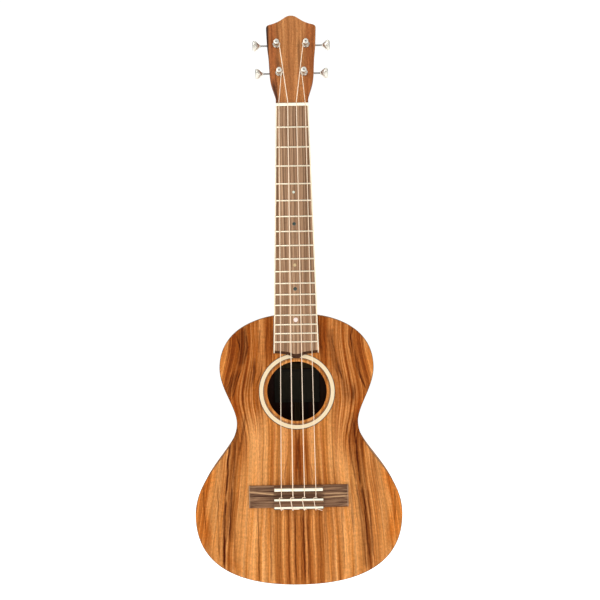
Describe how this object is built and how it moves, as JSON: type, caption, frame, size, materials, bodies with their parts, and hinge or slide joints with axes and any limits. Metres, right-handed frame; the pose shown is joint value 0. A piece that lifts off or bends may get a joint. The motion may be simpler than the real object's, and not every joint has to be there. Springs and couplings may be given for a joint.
{
  "type": "ukulele",
  "caption": "Tenor ukulele: hollow figured-wood body with a round sound hole, fretted neck, tie bridge, strings and geared tuners that turn their posts.",
  "frame": {"origin": "on the centre line at the nut's fingerboard edge, in the soundboard's outer plane, where a wall hanger takes the neck under the head", "axes": "+Z towards the head, -Y out of the soundboard, +X to the treble side seen from the front"},
  "size_m": [0.2378, 0.0845, 0.6578],
  "materials": {
    "acacia_top": "satin open-grain, strongly figured",
    "acacia_shell": "satin open-grain",
    "mahogany": "satin",
    "head_veneer": "satin, straight grain",
    "walnut": "dry, oiled",
    "spruce": "bare",
    "cream_inlay": "satin",
    "bone": "polished",
    "nylon": "clear-cast nylon",
    "chrome": "polished",
    "gear_steel": "machined"
  },
  "bodies": {
    "instrument": {"soundboard": "acacia_top", "back_plate": "acacia_shell", "rib_bass": "acacia_shell", "rib_treble": "acacia_shell", "lining_top_bass": "spruce", "lining_top_treble": "spruce", "lining_back_bass": "spruce", "lining_back_treble": "spruce", "neck_block": "mahogany", "tail_block": "mahogany", "top_brace_upper": "spruce", "top_brace_lower": "spruce", "back_brace_upper": "spruce", "back_brace_lower": "spruce", "fan_brace_bass": "spruce", "fan_brace_treble": "spruce", "bridge_plate": "mahogany", "rosette_ring": "cream_inlay", "neck": "mahogany", "headstock_veneer": "head_veneer", "fingerboard": "walnut", "binding_bass": "cream_inlay", "binding_treble": "cream_inlay", "nut": "bone", "bridge": "walnut", "saddle": "bone", "tie_strip_front": "cream_inlay", "tie_strip_rear": "cream_inlay", "string_g": "nylon", "string_c": "nylon", "string_e": "nylon", "string_a": "nylon", "tuner_housing_g": "chrome", "tuner_cover_g": "chrome", "post_bushing_g": "chrome", "tuner_housing_c": "chrome", "tuner_cover_c": "chrome", "post_bushing_c": "chrome", "tuner_housing_e": "chrome", "tuner_cover_e": "chrome", "post_bushing_e": "chrome", "tuner_housing_a": "chrome", "tuner_cover_a": "chrome", "post_bushing_a": "chrome"},
    "knob_g": {"worm_shaft_g": "gear_steel", "tuner_button_g": "chrome"},
    "post_g": {"string_post_g": "chrome", "worm_wheel_g": "gear_steel"},
    "knob_c": {"worm_shaft_c": "gear_steel", "tuner_button_c": "chrome"},
    "post_c": {"string_post_c": "chrome", "worm_wheel_c": "gear_steel"},
    "knob_e": {"worm_shaft_e": "gear_steel", "tuner_button_e": "chrome"},
    "post_e": {"string_post_e": "chrome", "worm_wheel_e": "gear_steel"},
    "knob_a": {"worm_shaft_a": "gear_steel", "tuner_button_a": "chrome"},
    "post_a": {"string_post_a": "chrome", "worm_wheel_a": "gear_steel"}
  },
  "joints": [
    {"name": "knob_turn_g", "type": "hinge", "parent": "instrument", "child": "knob_g", "pos_m": [-0.01415, 0.02666, 0.04161], "axis": [-1, 0, 0], "continuous": true},
    {"name": "post_turn_g", "type": "hinge", "parent": "instrument", "child": "post_g", "pos_m": [-0.01415, 0.02033, 0.03682], "axis": [0, -0.9781, 0.2079], "continuous": true},
    {"name": "knob_turn_c", "type": "hinge", "parent": "instrument", "child": "knob_c", "pos_m": [-0.01697, 0.03381, 0.07526], "axis": [-1, 0, 0], "continuous": true},
    {"name": "post_turn_c", "type": "hinge", "parent": "instrument", "child": "post_c", "pos_m": [-0.01697, 0.02748, 0.07047], "axis": [0, -0.9781, 0.2079], "continuous": true},
    {"name": "knob_turn_e", "type": "hinge", "parent": "instrument", "child": "knob_e", "pos_m": [0.01697, 0.03381, 0.07526], "axis": [1, 0, 0], "continuous": true},
    {"name": "post_turn_e", "type": "hinge", "parent": "instrument", "child": "post_e", "pos_m": [0.01697, 0.02748, 0.07047], "axis": [0, -0.9781, 0.2079], "continuous": true},
    {"name": "knob_turn_a", "type": "hinge", "parent": "instrument", "child": "knob_a", "pos_m": [0.01415, 0.02666, 0.04161], "axis": [1, 0, 0], "continuous": true},
    {"name": "post_turn_a", "type": "hinge", "parent": "instrument", "child": "post_a", "pos_m": [0.01415, 0.02033, 0.03682], "axis": [0, -0.9781, 0.2079], "continuous": true}
  ],
  "couplings": [
    {"joint": "post_turn_g", "follows": "knob_turn_g", "ratio": 0.071429},
    {"joint": "post_turn_c", "follows": "knob_turn_c", "ratio": 0.071429},
    {"joint": "post_turn_e", "follows": "knob_turn_e", "ratio": 0.071429},
    {"joint": "post_turn_a", "follows": "knob_turn_a", "ratio": 0.071429}
  ]
}
